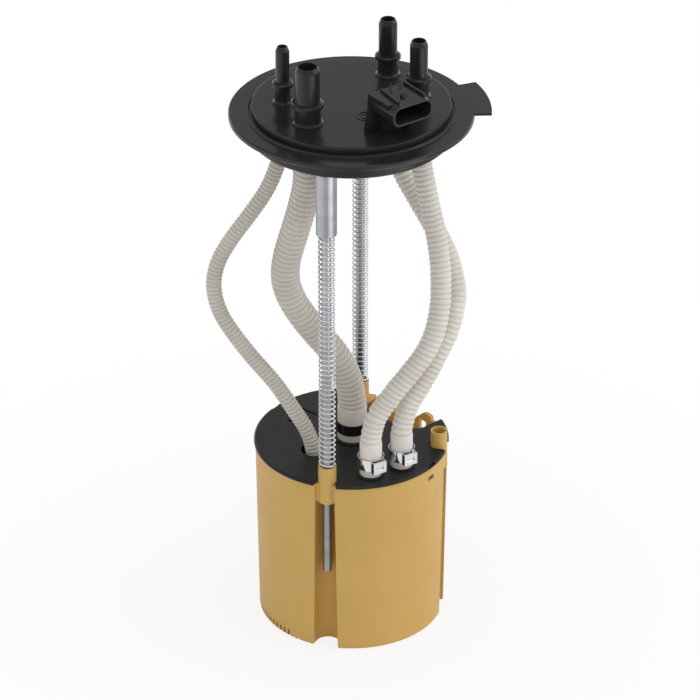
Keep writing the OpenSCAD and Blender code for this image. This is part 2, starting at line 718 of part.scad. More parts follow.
// One spigot above the deck, with its hose nipple below
module spigot(xy, d) {
    r = d / 2;
    top = deck_z + spigot_h;
    collar = deck_z + collar_z;
    translate([xy.x, xy.y, 0]) rotate_extrude() polygon(concat([[0, nipple_z], [r - 0.4, nipple_z],
        [r - 0.4, deck_under + eps], [0, deck_under + eps]]));
    translate([xy.x, xy.y, 0]) rotate_extrude() polygon(concat([[0, deck_under]],
        [[r + 2.4, deck_under], [r + 2.4, deck_z + 0.5]],
        arc([r + 2.4, deck_z + 2.3], 1.8, 270, 180, 3),
        [[r + 0.5, collar - 0.6], [r + collar_out, collar], [r + collar_out, collar + collar_t - 0.6],
        [r + collar_out - 0.6, collar + collar_t], [r, collar + collar_t + 0.4],
        [r, top - 3], [r - 1, top - 0.4], [r - 1.3, top], [0, top]]));
}

// Bore of a spigot, right through to its nipple
module spigot_bore(xy, d) {
    translate([xy.x, xy.y, nipple_z - 1])
        cylinder(r = d / 2 - spigot_wall - 0.4, h = deck_z + spigot_h - nipple_z + 2);
}

// A rib on the connector's top, from one place to another
module top_rib(from, to, t, low, high_from, high_to) {
    run = to - from;
    translate([from.x, from.y, low]) rotate([0, 0, atan2(run.y, run.x)]) rotate([90, 0, 0])
        linear_extrude(t, center = true)
            polygon([[0, 0], [norm(run), 0], [norm(run), high_to], [0, high_from]]);
}

// The connector's body in the flange's frame; its mouth faces -Y
plug_mid = 1.6;
plug_mouth = -61.2;
module connector_body() {
    w = socket_w + 2 * socket_wall;
    h = socket_h + 2 * socket_wall;
    back = plug_mouth + plug_len;
    mid = deck_z + plug_z;
    roof = mid + h / 2;
    side = w / 2 - 0.4;
    translate([plug_mid, plug_mouth, mid]) rotate([-90, 0, 0]) linear_extrude(plug_len)
        rounded(w, h, socket_r + socket_wall);
    translate([plug_mid - side, plug_mouth + 6, roof - 6]) cube([2 * side, plug_len - 6, 6 - 0.02]);
    top_rib([plug_mid - 5.3, back - 1.5], [plug_mid - 8, plug_mouth + 4], 1.5, roof - 1, 2.6, 2.6);
    top_rib([plug_mid + 11.8, back - 1.5], [plug_mid + 11.5, plug_mouth + 4], 1.5, roof - 1, 2.6, 2.6);
    top_rib([plug_mid + 1.7, back - 1.2], [plug_mid - 4.4, back - 10.7], 1.3, roof - 1, 4.2, 1);
    top_rib([plug_mid + 8.5, back - 1.7], [plug_mid + 3.4, back - 10], 1.3, roof - 1, 4.2, 1);
    translate([plug_mid + 0.4, plug_mouth + 5, roof - 0.3]) rotate([90, 0, 90])
        linear_extrude(3, center = true) polygon([[0, 0], [7, 0], [7, 2.2]]);
    translate([0, 0, deck_z - 0.3]) {
        translate([plug_mid, back - 3, 0]) rotate([90, 0, 0]) linear_extrude(3, center = true)
            polygon([[-w / 2 - 4, 0], [w / 2 + 3, 0], [side, plug_z + h / 2 - 0.6],
                [-side, plug_z + h / 2 - 0.6]]);
        translate([plug_mid - 7, back - 10, 0]) cube([15, 9, plug_z - h / 2 + 1]);
        for (x = [-8, 8]) translate([plug_mid + x, back - 3, 0]) rotate([90, 0, -90])
            linear_extrude(1.4, center = true) polygon([[0, 0], [9, 0], [17, plug_z - h / 2 + 1],
                [0, plug_z - h / 2 + 1]]);
    }
}

module flange() {
    plug = deck_z + plug_z;
    color(black) difference() {
        union() {
            flange_form();
            tab();
            spigot(jet_spigot_xy, jet_spigot_d);
            spigot(feed_xy, feed_d);
            spigot(cross_xy, cross_d);
            spigot(return_xy, return_d);
            connector_body();
            for (az = [front_az, back_az]) polar(az, rod_ring)
                translate([0, 0, boss_z]) cylinder(r = boss_r, h = deck_under - boss_z + eps);
            for (az = [0:45:315]) rotate([0, 0, az]) translate([8, -0.8, deck_under - 6])
                cube([skirt_d / 2 - skirt_t - 7, 1.6, 6 + eps]);
            translate([-4, -20.5, deck_z - eps]) pipe(6, 5.4, 0, 0.4);
            translate([-4, -20.5, deck_z - eps]) pipe(3.2, 2.6, 0, 0.4);
        }
        spigot_bore(jet_spigot_xy, jet_spigot_d);
        spigot_bore(feed_xy, feed_d);
        spigot_bore(cross_xy, cross_d);
        spigot_bore(return_xy, return_d);
        translate([plug_mid, plug_mouth - 1, plug]) rotate([-90, 0, 0])
            linear_extrude(socket_depth + 1) rounded(socket_w, socket_h, socket_r);
        for (k = [0:3]) translate([plug_mid + (k - 1.5) * 5, plug_mouth + socket_depth + 2, plug])
            cube([pin_w, 6, 0.8], center = true);
        for (az = [front_az, back_az]) polar(az, rod_ring)
            translate([0, 0, boss_z - 1]) cylinder(r = rod_d / 2, h = rod_top - boss_z + 1);
    }
}

rod_top = deck_under - 1;
module connector_terminals() {
    back = plug_mouth + socket_depth + 5;
    color(brass) for (k = [0:3])
        translate([plug_mid + (k - 1.5) * 5, back - 7, deck_z + plug_z])
            cube([pin_w, 14, 0.8], center = true);
}

// A guide rod with chamfered foot
module rod(az) {
    color(steel) polar(az, rod_ring) rotate_extrude() polygon([[0, rod_foot], [rod_d / 2 - 0.5, rod_foot],
        [rod_d / 2, rod_foot + 0.5], [rod_d / 2, rod_top], [0, rod_top]]);
}

// A spacer tube on its rod, cut square where the spring bears on it
module spacer(az) {
    bore = rod_d / 2 + run_gap;
    color(steel) polar(az, rod_ring) rotate_extrude() polygon([[bore, spring_high],
        [spacer_d / 2 - 0.4, spring_high], [spacer_d / 2, spring_high + 0.4],
        [spacer_d / 2, boss_z], [bore, boss_z]]);
}

module spring(az) {
    color(steel) polar(az, rod_ring) helix(spring_d / 2, wire_d, spring_low, spring_high, turns);
}

module jet_hose() {
    color(cream) hose(concat([[jet_spigot_xy.x, jet_spigot_xy.y, nipple_z]], jet_route,
        [[jet_xy.x, jet_xy.y, jet_hose_z]]), jet_hose_d);
}

module feed_hose() {
    color(cream) cuffed_hose(feed_xy, feed_route, feed_barb_xy, feed_hose_d);
}

module crossover_hose() {
    color(cream) cuffed_hose(cross_xy, cross_route, cross_barb_xy, small_hose_d);
}

module return_hose() {
    color(cream) cuffed_hose(return_xy, return_route, return_barb_xy, small_hose_d);
}

// A clamp band round a hose's cuff, with the closed ear that tightens it
module ear_clamp(xy, d, gap, height, ear_az, ear) {
    inner = d / 2 + cuff_out + gap;
    translate([xy.x, xy.y, cover_top + clamp_z]) {
        pipe(inner + clamp_t, inner, 0, height);
        rotate([0, 0, ear_az]) translate([inner + clamp_t - 0.2, -ear.y / 2, (height - ear.z) / 2])
            cube(ear);
    }
}

clamp_z = 6.3;
module return_hose_clamp() {
    color(steel) ear_clamp(return_barb_xy, small_hose_d, clamp_gap, 7.8, -95.5, [3.4, 9.3, 7.8]);
}

module crossover_hose_clamp() {
    color(steel) ear_clamp(cross_barb_xy, small_hose_d, clamp_gap, 7.8, -95.5, [3.4, 9.3, 7.8]);
}

module feed_hose_clamp() {
    color(black) ear_clamp(feed_barb_xy, feed_hose_d, 0.1, 7.2, 60, [2.4, 6, 6.4]);
}

reservoir();
reservoir_cover();
inlet_valve();
jet_pump();
jet_tube();
pickup_tube();
strainer_collar();
pickup_strainer();
return_drop_tube();
crossover_drop_tube();
sensor_housing();
sensor_card();
sensor_terminals();
wiper_hub();
wiper_contact();
float_arm();
float();
flange();
connector_terminals();
rod(front_az);  // front_rod
rod(back_az);  // back_rod
spacer(front_az);  // front_spacer_tube
spacer(back_az);  // back_spacer_tube
spring(front_az);  // front_spring
spring(back_az);  // back_spring
jet_hose();
feed_hose();
return_hose();
crossover_hose();
feed_hose_clamp();
return_hose_clamp();
crossover_hose_clamp();
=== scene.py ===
"""Fuel tank sending unit, dressed for the camera.

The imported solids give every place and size. Each visible solid gets a skin with rounded
edges and its own finish, and the springs, hoses, clamps, strainer and studio are made here.
All lengths are metres in the frame's own axes: +Z up, the connector's mouth towards -Y.
"""

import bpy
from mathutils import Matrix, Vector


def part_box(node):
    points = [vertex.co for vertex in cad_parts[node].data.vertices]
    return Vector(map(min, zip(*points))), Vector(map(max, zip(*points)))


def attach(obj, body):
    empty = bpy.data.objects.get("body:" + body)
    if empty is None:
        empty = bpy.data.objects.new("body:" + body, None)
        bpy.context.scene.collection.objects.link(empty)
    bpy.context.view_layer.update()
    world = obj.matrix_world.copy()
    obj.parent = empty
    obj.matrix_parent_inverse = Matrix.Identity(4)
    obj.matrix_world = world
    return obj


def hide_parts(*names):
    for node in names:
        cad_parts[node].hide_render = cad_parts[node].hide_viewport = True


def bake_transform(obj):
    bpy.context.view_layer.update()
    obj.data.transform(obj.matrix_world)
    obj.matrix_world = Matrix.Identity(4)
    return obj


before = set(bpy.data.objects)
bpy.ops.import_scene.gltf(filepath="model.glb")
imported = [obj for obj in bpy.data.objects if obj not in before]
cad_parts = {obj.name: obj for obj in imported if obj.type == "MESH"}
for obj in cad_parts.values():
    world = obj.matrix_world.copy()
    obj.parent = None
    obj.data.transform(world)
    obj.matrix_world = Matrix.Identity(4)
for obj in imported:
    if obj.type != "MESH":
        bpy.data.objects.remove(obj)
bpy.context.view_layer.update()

import logging
import math
from abc import ABC, abstractmethod
from dataclasses import dataclass, field
from enum import Enum

import bpy
from mathutils import Matrix, Vector

LOG = logging.getLogger("sending_unit")
MM = 0.001
WELD = 1e-6
SHARP_ANGLE = math.radians(32)
SMOOTH_ANGLE = math.radians(38)
FLAT_ANGLE = math.radians(0.4)
Colour = tuple[float, float, float]
Point = tuple[float, float, float]


class Body(Enum):
    """The moving bodies of the frame."""

    RESERVOIR = "reservoir_body"
    FLANGE = "flange_body"
    FLOAT = "float_body"


def linear(red: int, green: int, blue: int) -> Colour:
    """Turns a colour as seen on a screen into the shader's linear values.

    Args:
        red: Red part, 0 to 255.
        green: Green part, 0 to 255.
        blue: Blue part, 0 to 255.

    Returns:
        The three linear parts, 0 to 1.
    """
    parts = (part / 255 for part in (red, green, blue))
    return tuple(p / 12.92 if p <= 0.04045 else ((p + 0.055) / 1.055) ** 2.4 for p in parts)


# Shader maths


class Port:
    """A shader value: one output socket, with operators that add Math nodes."""

    def __init__(self, graph: "Graph", socket: bpy.types.NodeSocket) -> None:
        """Keeps the socket and the graph that it belongs to."""
        self.graph = graph
        self.socket = socket

    def _math(self, operation: str, first: "Value", second: "Value") -> "Port":
        """Adds one Math node and returns its result."""
        return self.graph.node("ShaderNodeMath", {"operation": operation}, {0: first, 1: second})

    def __add__(self, other: "Value") -> "Port":
        """Sum."""
        return self._math("ADD", self, other)

    def __radd__(self, other: "Value") -> "Port":
        """Sum with the number first."""
        return self._math("ADD", other, self)

    def __sub__(self, other: "Value") -> "Port":
        """Difference."""
        return self._math("SUBTRACT", self, other)

    def __rsub__(self, other: "Value") -> "Port":
        """Difference with the number first."""
        return self._math("SUBTRACT", other, self)

    def __mul__(self, other: "Value") -> "Port":
        """Product."""
        return self._math("MULTIPLY", self, other)

    def __rmul__(self, other: "Value") -> "Port":
        """Product with the number first."""
        return self._math("MULTIPLY", other, self)


Value = Port | float


class Graph:
    """A material's or a world's node tree, built by expressions."""

    def __init__(self, tree: bpy.types.NodeTree) -> None:
        """Empties the tree and keeps it."""
        self.tree = tree
        tree.nodes.clear()

    def node(self, kind: str, settings: dict | None = None, inputs: dict | None = None,
             output: int | str = 0) -> Port:
        """Adds any node.

        Args:
            kind: The node's type name.
            settings: Properties that are set first; "stops" fills a colour ramp.
            inputs: Values or links by the sockets' names or numbers.
            output: The socket whose value is returned.

        Returns:
            The chosen output as a value.
        """
        made = self.tree.nodes.new(kind)
        for name, setting in (settings or {}).items():
            if name == "stops":
                self._stops(made.color_ramp, setting)
            else:
                setattr(made, name, setting)
        for key, value in (inputs or {}).items():
            if isinstance(value, Port):
                self.tree.links.new(value.socket, made.inputs[key])
            else:
                made.inputs[key].default_value = value
        return Port(self, made.outputs[output]) if len(made.outputs) else Port(self, None)

    @staticmethod
    def _stops(ramp: bpy.types.ColorRamp, stops: list[tuple[float, float]]) -> None:
        """Gives a ramp its places and grey levels.

        Args:
            ramp: The node's colour ramp.
            stops: A place and a grey level for each stop.
        """
        while len(ramp.elements) < len(stops):
            ramp.elements.new(0.5)
        for element, (place, level) in zip(ramp.elements, stops):
            element.position = place
            element.color = (level, level, level, 1)

    def place(self, scale: Point = (1, 1, 1)) -> Port:
        """The surface's own coordinates in metres.

        Args:
            scale: How much the pattern on them is squeezed along each axis.

        Returns:
            The coordinates.
        """
        here = self.node("ShaderNodeTexCoord", output="Object")
        if scale == (1, 1, 1):
            return here
        return self.node("ShaderNodeMapping", {}, {"Vector": here, "Scale": scale})

    def noise(self, scale: float, detail: float = 2, where: Port | None = None) -> Port:
        """Noise between 0 and 1, with `scale` cells in a metre."""
        return self.node("ShaderNodeTexNoise", {"noise_dimensions": "3D"},
                         {"Vector": where or self.place(), "Scale": scale, "Detail": detail})

    def ramp(self, value: Value, *stops: tuple[float, float]) -> Port:
        """Grey levels at given places of a value."""
        return self.node("ShaderNodeValToRGB", {"stops": list(stops)}, {0: value})

    def blend(self, factor: Value, first: Colour | Port, second: Colour | Port) -> Port:
        """One colour that turns into another.

        Args:
            factor: 0 for the first colour, up to 1 for the second.
            first: A colour, or a value that carries one.
            second: A colour, or a value that carries one.

        Returns:
            The mixed colour.
        """
        sides = [c if isinstance(c, Port) else (*c, 1) for c in (first, second)]
        return self.node("ShaderNodeMix", {"data_type": "RGBA"},
                         {0: factor, 6: sides[0], 7: sides[1]}, output=2)

    def bump(self, height: Value, depth: float) -> Port:
        """A normal that is raised by a height of `depth` metres."""
        return self.node("ShaderNodeBump", {},
                         {"Height": height, "Distance": depth, "Strength": 1})


# Finishes


@dataclass(frozen=True)
class Finish(ABC):
    """A surface finish that one material carries."""

    name: str
    slot: str

    def material(self) -> bpy.types.Material:
        """Makes the material the first time and finds it again from then on.

        Returns:
            The material.
        """
        title = self.name + "_finish"
        known = bpy.data.materials.get(title)
        if known:
            return known
        made = bpy.data.materials.new(title)
        made.use_nodes = True
        graph = Graph(made.node_tree)
        shader = graph.node("ShaderNodeBsdfPrincipled", {}, self.sockets(graph))
        graph.node("ShaderNodeOutputMaterial", {}, {"Surface": shader})
        return made

    @abstractmethod
    def sockets(self, graph: Graph) -> dict:
        """Values of the surface shader's sockets.

        Args:
            graph: The material's node tree.

        Returns:
            A value or a link for each socket's name.
        """


@dataclass(frozen=True)
class MouldedPlastic(Finish):
    """Injection moulded plastic with a fine grain, flow marks and light rubbing."""

    colour: Colour
    tone: Colour
    roughness: float = 0.45
    grain: float = 1600
    grain_depth: float = 12e-6
    flow_depth: float = 40e-6
    scuff: float = 0.3
    sheen: float = 0.42

    def sockets(self, graph: Graph) -> dict:
        """Values of the surface shader's sockets.

        Args:
            graph: The material's node tree.

        Returns:
            A value or a link for each socket's name.
        """
        cloud = graph.noise(22, 4)
        flow = graph.noise(60, 3, graph.place((1, 1, 0.25)))
        grain = graph.noise(self.grain, 2)
        scratch = graph.noise(900, 1, graph.place((1, 0.06, 0.4)))
        rubbed = graph.ramp(scratch, (0.62, 0), (0.7, 1)) * graph.ramp(cloud, (0.5, 0), (0.75, 1))
        mix = graph.blend(graph.ramp(cloud, (0.3, 0), (0.7, 1)), self.colour, self.tone)
        paler = tuple(c + (1 - c) * 0.25 for c in self.colour)
        colour = graph.blend(rubbed * self.scuff, mix, paler)
        height = grain * (self.grain_depth / self.flow_depth) + flow
        rough = self.roughness + (grain - 0.5) * 0.16 + (cloud - 0.5) * 0.12 + rubbed * 0.1
        return {"Base Color": colour, "Roughness": rough, "Specular IOR Level": self.sheen,
                "Normal": graph.bump(height, self.flow_depth)}


@dataclass(frozen=True)
class Metal(Finish):
    """Drawn, ground or stamped metal with fine lines along one axis."""

    colour: Colour
    tone: Colour
    roughness: float = 0.28
    lines: Point = (1, 1, 0.02)
    line_count: float = 2600
    line_depth: float = 4e-6

    def sockets(self, graph: Graph) -> dict:
        """Values of the surface shader's sockets.

        Args:
            graph: The material's node tree.

        Returns:
            A value or a link for each socket's name.
        """
        streak = graph.noise(self.line_count, 3, graph.place(self.lines))
        haze = graph.noise(90, 4)
        colour = graph.blend(graph.ramp(haze, (0.35, 0), (0.7, 1)), self.colour, self.tone)
        rough = self.roughness + (streak - 0.5) * 0.2 + (haze - 0.5) * 0.14
        return {"Base Color": colour, "Roughness": rough, "Metallic": 1.0,
                "Normal": graph.bump(streak, self.line_depth)}


@dataclass(frozen=True)
class HoseNylon(Finish):
    """Extruded nylon of a corrugated hose: satin, with dust and painted shade darkening its
    grooves.
    """

    colour: Colour
    # groove: the darker random tone, also used for the dust and painted shade deep in the grooves.
    groove: Colour
    roughness: float = 0.5

    def sockets(self, graph: Graph) -> dict:
        """Values of the surface shader's sockets.

        Args:
            graph: The material's node tree.

        Returns:
            A value or a link for each socket's name.
        """
        deep = graph.node("ShaderNodeAttribute", {"attribute_name": "groove"}, output="Fac")
        cloud = graph.noise(35, 4)
        grain = graph.noise(2200, 2)
        # Dust and painted shade: deep in the grooves the colour turns towards the groove colour.
        dust_and_groove_shade = deep * graph.ramp(cloud, (0.25, 0.75), (0.75, 1))
        toned = graph.blend(graph.ramp(cloud, (0.3, 0), (0.75, 0.35)), self.colour, self.groove)
        colour = graph.blend(dust_and_groove_shade * 0.45, toned, self.groove)
        rough = self.roughness + dust_and_groove_shade * 0.15 + (grain - 0.5) * 0.14
        return {"Base Color": colour, "Roughness": rough, "Specular IOR Level": 0.4,
                "Subsurface Weight": 0.12, "Subsurface Radius": (0.6, 0.5, 0.4),
                "Subsurface Scale": 0.002, "Normal": graph.bump(grain, 8e-6)}


@dataclass(frozen=True)
class Foam(Finish):
    """Closed-cell float foam: matt, with small pits."""

    colour: Colour
    tone: Colour

    def sockets(self, graph: Graph) -> dict:
        """Values of the surface shader's sockets.

        Args:
            graph: The material's node tree.

        Returns:
            A value or a link for each socket's name.
        """
        cells = graph.node("ShaderNodeTexVoronoi", {"feature": "F1"},
                           {"Vector": graph.place(), "Scale": 900}, output="Distance")
        cloud = graph.noise(60, 3)
        pits = graph.ramp(cells, (0.1, 0), (0.6, 1))
        return {"Base Color": graph.blend(pits * cloud, self.tone, self.colour),
                "Roughness": 0.86 + (cloud - 0.5) * 0.1, "Specular IOR Level": 0.3,
                "Normal": graph.bump(pits, 120e-6)}


@dataclass(frozen=True)
class FilterCloth(Finish):
    """Woven filter cloth of the strainer."""

    colour: Colour
    tone: Colour
    threads: float = 1900

    def sockets(self, graph: Graph) -> dict:
        """Values of the surface shader's sockets.

        Args:
            graph: The material's node tree.

        Returns:
            A value or a link for each socket's name.
        """
        waves = [graph.node("ShaderNodeTexWave", {"bands_direction": axis},
                            {"Vector": graph.place(), "Scale": self.threads / 20}, output="Fac")
                 for axis in ("X", "Y")]
        weave = waves[0] * waves[1]
        cloud = graph.noise(70, 3)
        return {"Base Color": graph.blend(weave, self.tone, self.colour),
                "Roughness": 0.8 + (cloud - 0.5) * 0.12, "Sheen Weight": 0.2,
                "Normal": graph.bump(weave + cloud * 0.3, 90e-6)}


AMBER = MouldedPlastic("amber_acetal", "amber_plastic", linear(214, 175, 101),
                       linear(208, 169, 95), roughness=0.44, scuff=0.15, sheen=0.34)
COVER_BLACK = MouldedPlastic("black_acetal", "black_plastic", linear(36, 36, 37),
                             linear(31, 31, 32), roughness=0.42, scuff=0.1, sheen=0.24)
FLANGE_BLACK = MouldedPlastic("black_flange_acetal", "flange_plastic", linear(40, 40, 42),
                              linear(35, 35, 37), roughness=0.22, scuff=0.06, sheen=0.27)
INNER_BLACK = MouldedPlastic("black_inner_acetal", "black_plastic", linear(32, 32, 33),
                             linear(27, 27, 28), roughness=0.5, scuff=0.1, sheen=0.3)
RUBBER = MouldedPlastic("valve_rubber", "valve_rubber", linear(34, 34, 35),
                        linear(28, 28, 29), roughness=0.75, grain=900, scuff=0.1)
BAND_BLACK = MouldedPlastic("black_band", "black_band", linear(22, 22, 23),
                            linear(18, 18, 19), roughness=0.14, scuff=0.05)
HUB_WHITE = MouldedPlastic("hub_acetal", "hub_acetal", linear(214, 212, 204),
                           linear(204, 201, 192), roughness=0.45)
CERAMIC = MouldedPlastic("card_ceramic", "ceramic", linear(222, 222, 214),
                         linear(212, 212, 204), roughness=0.55, grain=3000)
ROD_STEEL = Metal("rod_steel", "rod_steel", linear(166, 167, 172), linear(150, 151, 156),
                  roughness=0.27)
SPRING_STEEL = Metal("spring_steel", "spring_steel", linear(222, 223, 226),
                     linear(200, 201, 205), roughness=0.3, lines=(1, 1, 1), line_count=1400)
CLAMP_STEEL = Metal("clamp_steel", "clamp_steel", linear(236, 237, 239),
                    linear(226, 227, 230), roughness=0.08, line_depth=2e-6)
BRASS = Metal("contact_brass", "contact_brass", linear(206, 178, 104),
              linear(186, 156, 86), roughness=0.25)
# Each nylon's second colour darkens its grooves with dust and painted shade.
NYLON = HoseNylon("hose_nylon", "hose_nylon", linear(217, 211, 202), linear(164, 158, 146))
# Painted light: a lighter copy of the same nylon for the hoses on the key light's side.
NYLON_PAINTED_LIGHTER = HoseNylon("hose_nylon_painted_lighter", "hose_nylon", linear(236, 231, 223),
                      linear(178, 172, 161))
FOAM = Foam("float_foam", "float_foam", linear(46, 46, 46), linear(24, 24, 24))
CLOTH = FilterCloth("filter_cloth", "filter_cloth", linear(214, 210, 196), linear(150, 146, 132))


# Modelling by operators


class Bench:
    """Operators that are used on more than one sub-assembly."""

    @staticmethod
    def box(name: str, centre: Point, size: Point, turn: float = 0) -> bpy.types.Object:
        """Adds a box.

        Args:
            name: The name of the object and its mesh.
            centre: The box's middle.
            size: Its size along each axis.
            turn: The angle that it is turned by about Z.

        Returns:
            The box, with its place in its mesh.
        """
        Bench.clear()
        bpy.ops.mesh.primitive_cube_add(size=1, location=centre, rotation=(0, 0, turn),
                                        scale=size)
        made = Bench.named(name)
        Bench.settle(made)
        return made

    @staticmethod
    def pick(*objects: bpy.types.Object) -> None:
        """Selects objects alone and makes the last one active.

        Args:
            *objects: The objects.
        """
        bpy.ops.object.select_all(action="DESELECT")
        for one in objects:
            one.select_set(True)
        bpy.context.view_layer.objects.active = objects[-1]

    @staticmethod
    def clear() -> None:
        """Deselects everything, before a primitive is added."""
        bpy.ops.object.select_all(action="DESELECT")

    @staticmethod
    def settle(piece: bpy.types.Object) -> None:
        """Moves a piece's place, turn and scale into its mesh."""
        Bench.pick(piece)
        bpy.ops.object.transform_apply(location=True, rotation=True, scale=True)

    @staticmethod
    def apply(piece: bpy.types.Object, kind: str, **settings: object) -> None:
        """Adds a modifier and applies it.

        Args:
            piece: The piece that is changed.
            kind: The modifier's type name.
            **settings: The modifier's properties.
        """
        Bench.pick(piece)
        modifier = piece.modifiers.new(kind.title(), kind)
        for name, value in settings.items():
            setattr(modifier, name, value)
        bpy.ops.object.modifier_apply(modifier=modifier.name)

    @staticmethod
    def outward(piece: bpy.types.Object) -> None:
        """Merges doubles and turns all faces outwards.

        Args:
            piece: A closed piece, or a band before it gets its thickness.
        """
        Bench.pick(piece)
        bpy.ops.object.mode_set(mode="EDIT")
        bpy.ops.mesh.select_all(action="SELECT")
        bpy.ops.mesh.remove_doubles(threshold=WELD)
        bpy.ops.mesh.normals_make_consistent(inside=False)
        bpy.ops.object.mode_set(mode="OBJECT")

    @staticmethod
    def round_edges(piece: bpy.types.Object, width: float) -> None:
        """Rounds the sharp edges and shades the rest smooth.

        Args:
            piece: The piece.
            width: The rounding's width.
        """
        Bench.apply(piece, "BEVEL", width=width, segments=2, limit_method="ANGLE",
                    angle_limit=SHARP_ANGLE, use_clamp_overlap=True)
        Bench.pick(piece)
        bpy.ops.object.shade_smooth_by_angle(angle=SMOOTH_ANGLE)
        Bench.apply(piece, "WEIGHTED_NORMAL", mode="FACE_AREA", keep_sharp=True)

    @staticmethod
    def cut(piece: bpy.types.Object, cutter: bpy.types.Object) -> None:
        """Cuts one closed piece by another and deletes the other."""
        Bench.apply(piece, "BOOLEAN", operation="DIFFERENCE", object=cutter, solver="EXACT")
        bpy.data.objects.remove(cutter)

    @staticmethod
    def named(name: str) -> bpy.types.Object:
        """Names the piece that the last operator made.

        Args:
            name: The name of the object and its mesh.

        Returns:
            The piece.
        """
        piece = bpy.context.active_object
        piece.name = name
        piece.data.name = name
        return piece

    @staticmethod
    def finish(piece: bpy.types.Object, finish: Finish) -> None:
        """Gives a piece one material and reports it.

        Args:
            piece: The piece.
            finish: The surface finish.
        """
        piece.data.materials.clear()
        piece.data.materials.append(finish.material())
        LOG.info("piece %s: %s, %d faces", piece.name, finish.name, len(piece.data.polygons))

    @staticmethod
    def skin(node: str, body: Body, finish: Finish, round_by: float,
             trim: bpy.types.Object | None = None) -> bpy.types.Object:
        """Copies a CAD node as a skin with merged, rounded edges.

        Args:
            node: The node's name.
            body: The body that the node is on.
            finish: The surface finish.
            round_by: Width of the rounding of sharp edges.
            trim: A closed piece that is cut off the skin first, or None.

        Returns:
            The skin, which replaces the node.
        """
        piece = bpy.data.objects.new(node + "_skin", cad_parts[node].data.copy())
        bpy.context.scene.collection.objects.link(piece)
        Bench.pick(piece)
        bpy.ops.object.mode_set(mode="EDIT")
        bpy.ops.mesh.select_all(action="SELECT")
        bpy.ops.mesh.remove_doubles(threshold=WELD)
        bpy.ops.mesh.dissolve_limited(angle_limit=FLAT_ANGLE)
        bpy.ops.object.mode_set(mode="OBJECT")
        piece.data.name = piece.name
        if trim is not None:
            Bench.cut(piece, trim)
        Bench.round_edges(piece, round_by)
        Bench.finish(piece, finish)
        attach(piece, body.value)
        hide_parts(node)
        return piece


# Sub-assemblies


@dataclass
class GuideSpring:
    """A compression spring round a guide rod, between the reservoir and the flange."""

    node: str
    direction: float
    ring: float = 55.2 * MM
    outside: float = 10.8 * MM
    wire: float = 1.25 * MM
    low: float = 135 * MM
    high: float = 300.5 * MM
    turns: int = 47
    steps_per_turn: int = 30
    wire_sides: int = 8

    def build(self) -> bpy.types.Object:
        """Winds the wire left-handed with the Screw modifier.

        Returns:
            The spring.
        """
        Bench.clear()
        radius = (self.outside - self.wire) / 2
        bpy.ops.mesh.primitive_circle_add(vertices=self.wire_sides, radius=self.wire / 2,
                                          location=(radius, 0, 0), rotation=(math.pi / 2, 0, 0))
        spring = Bench.named(self.node + "_wire")
        Bench.settle(spring)
        Bench.apply(spring, "SCREW", angle=-math.tau * self.turns, axis="Z",
                    screw_offset=self.high - self.low - self.wire,
                    steps=self.steps_per_turn * self.turns,
                    render_steps=self.steps_per_turn * self.turns,
                    use_normal_calculate=True)
        self.close_ends(spring)
        turn = math.radians(self.direction)
        place = Vector((math.cos(turn) * self.ring, math.sin(turn) * self.ring,
                        self.low + self.wire / 2))
        spring.data.transform(Matrix.Translation(place))
        Bench.outward(spring)
        Bench.pick(spring)
        bpy.ops.object.shade_smooth()
        Bench.finish(spring, SPRING_STEEL)
        spring.visible_glossy = False
        spring.visible_shadow = False
        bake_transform(spring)
        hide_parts(self.node)
        return spring

    @staticmethod
    def close_ends(spring: bpy.types.Object) -> None:
        """Fills the two cut ends of the wire.

        Args:
            spring: The wound wire.
        """
        Bench.pick(spring)
        bpy.ops.object.mode_set(mode="EDIT")
        bpy.ops.mesh.select_all(action="SELECT")
        bpy.ops.mesh.fill_holes(sides=0)
        bpy.ops.object.mode_set(mode="OBJECT")


